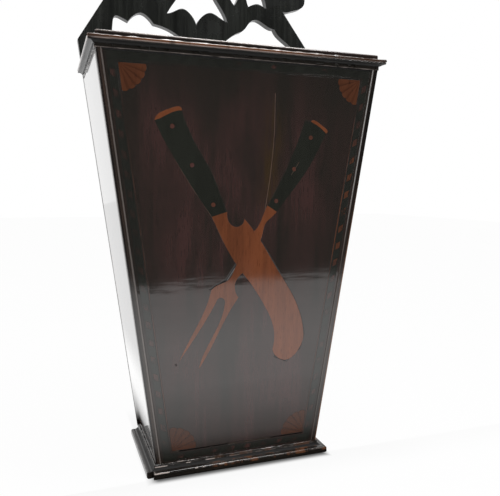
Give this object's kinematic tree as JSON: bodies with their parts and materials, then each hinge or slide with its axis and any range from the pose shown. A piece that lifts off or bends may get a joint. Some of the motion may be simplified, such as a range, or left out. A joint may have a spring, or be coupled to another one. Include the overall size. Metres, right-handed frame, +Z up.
{
  "type": "knife box",
  "caption": "Tapered wall-hanging cutlery box with a hinged flat lid, moulded cornice and base, inlaid front and pierced backboard.",
  "frame": {"origin": "centre of the box's overall outline, at the level of its base", "axes": "+Z up, -Y towards the inlaid front, +X to the right of someone facing the front"},
  "size_m": [0.3064, 0.1732, 0.634],
  "materials": {
    "ebonised_wood": "worn satin black",
    "mahogany_lid": "old french polish",
    "mahogany_side": "old french polish, high gloss",
    "mahogany_front": "old french polish, high gloss",
    "mahogany_moulding": "old polish with wear on the arrises",
    "bead_wood": "old polish",
    "pine": "bare, aged",
    "brass": "aged brass",
    "brass_screw": "aged brass",
    "steel": "dulled",
    "iron": "rusted black iron",
    "fruitwood": "polished, toned orange-brown",
    "dyed_wood": "dyed greenish black, polished",
    "rivet_wood": "polished",
    "fan_wood": "polished, sand-shaded",
    "string_wood": "polished",
    "band_ground": "polished",
    "band_check": "polished"
  },
  "bodies": {
    "case": {"backboard": "ebonised_wood", "backboard_nails": "iron", "band_foot": "band_ground", "band_left": "band_ground", "band_right": "band_ground", "band_top": "band_ground", "base_front": "mahogany_moulding", "base_left": "mahogany_moulding", "base_right": "mahogany_moulding", "bottom_board": "pine", "bottom_nails": "iron", "checks_foot": "band_check", "checks_left": "band_check", "checks_right": "band_check", "checks_top": "band_check", "cornice_front": "mahogany_moulding", "cornice_left": "mahogany_moulding", "cornice_right": "mahogany_moulding", "fan_foot_left": "fan_wood", "fan_foot_right": "fan_wood", "fan_top_left": "fan_wood", "fan_top_right": "fan_wood", "fixed_leaf_screws": "brass_screw", "fork_cap": "fruitwood", "fork_handle": "dyed_wood", "fork_prongs": "fruitwood", "fork_rivets": "rivet_wood", "front_board": "mahogany_front", "glue_blocks": "pine", "hinge_fixed_leaves": "brass", "hinge_pins": "steel", "knife_blade": "fruitwood", "knife_cap": "fruitwood", "knife_handle": "dyed_wood", "knife_rivets": "rivet_wood", "left_bead": "bead_wood", "left_side": "mahogany_side", "right_bead": "bead_wood", "right_side": "mahogany_side", "string_foot": "string_wood", "string_left": "string_wood", "string_right": "string_wood", "string_top": "string_wood"},
    "lid": {"lid": "mahogany_lid", "hinge_lid_leaves": "brass", "lid_leaf_screws": "brass_screw"}
  },
  "joints": [
    {"name": "lid_hinge", "type": "hinge", "parent": "case", "child": "lid", "pos_m": [0, 0.0745, 0.4436], "axis": [-1, 0, 0], "range_deg": [0, 91]}
  ]
}
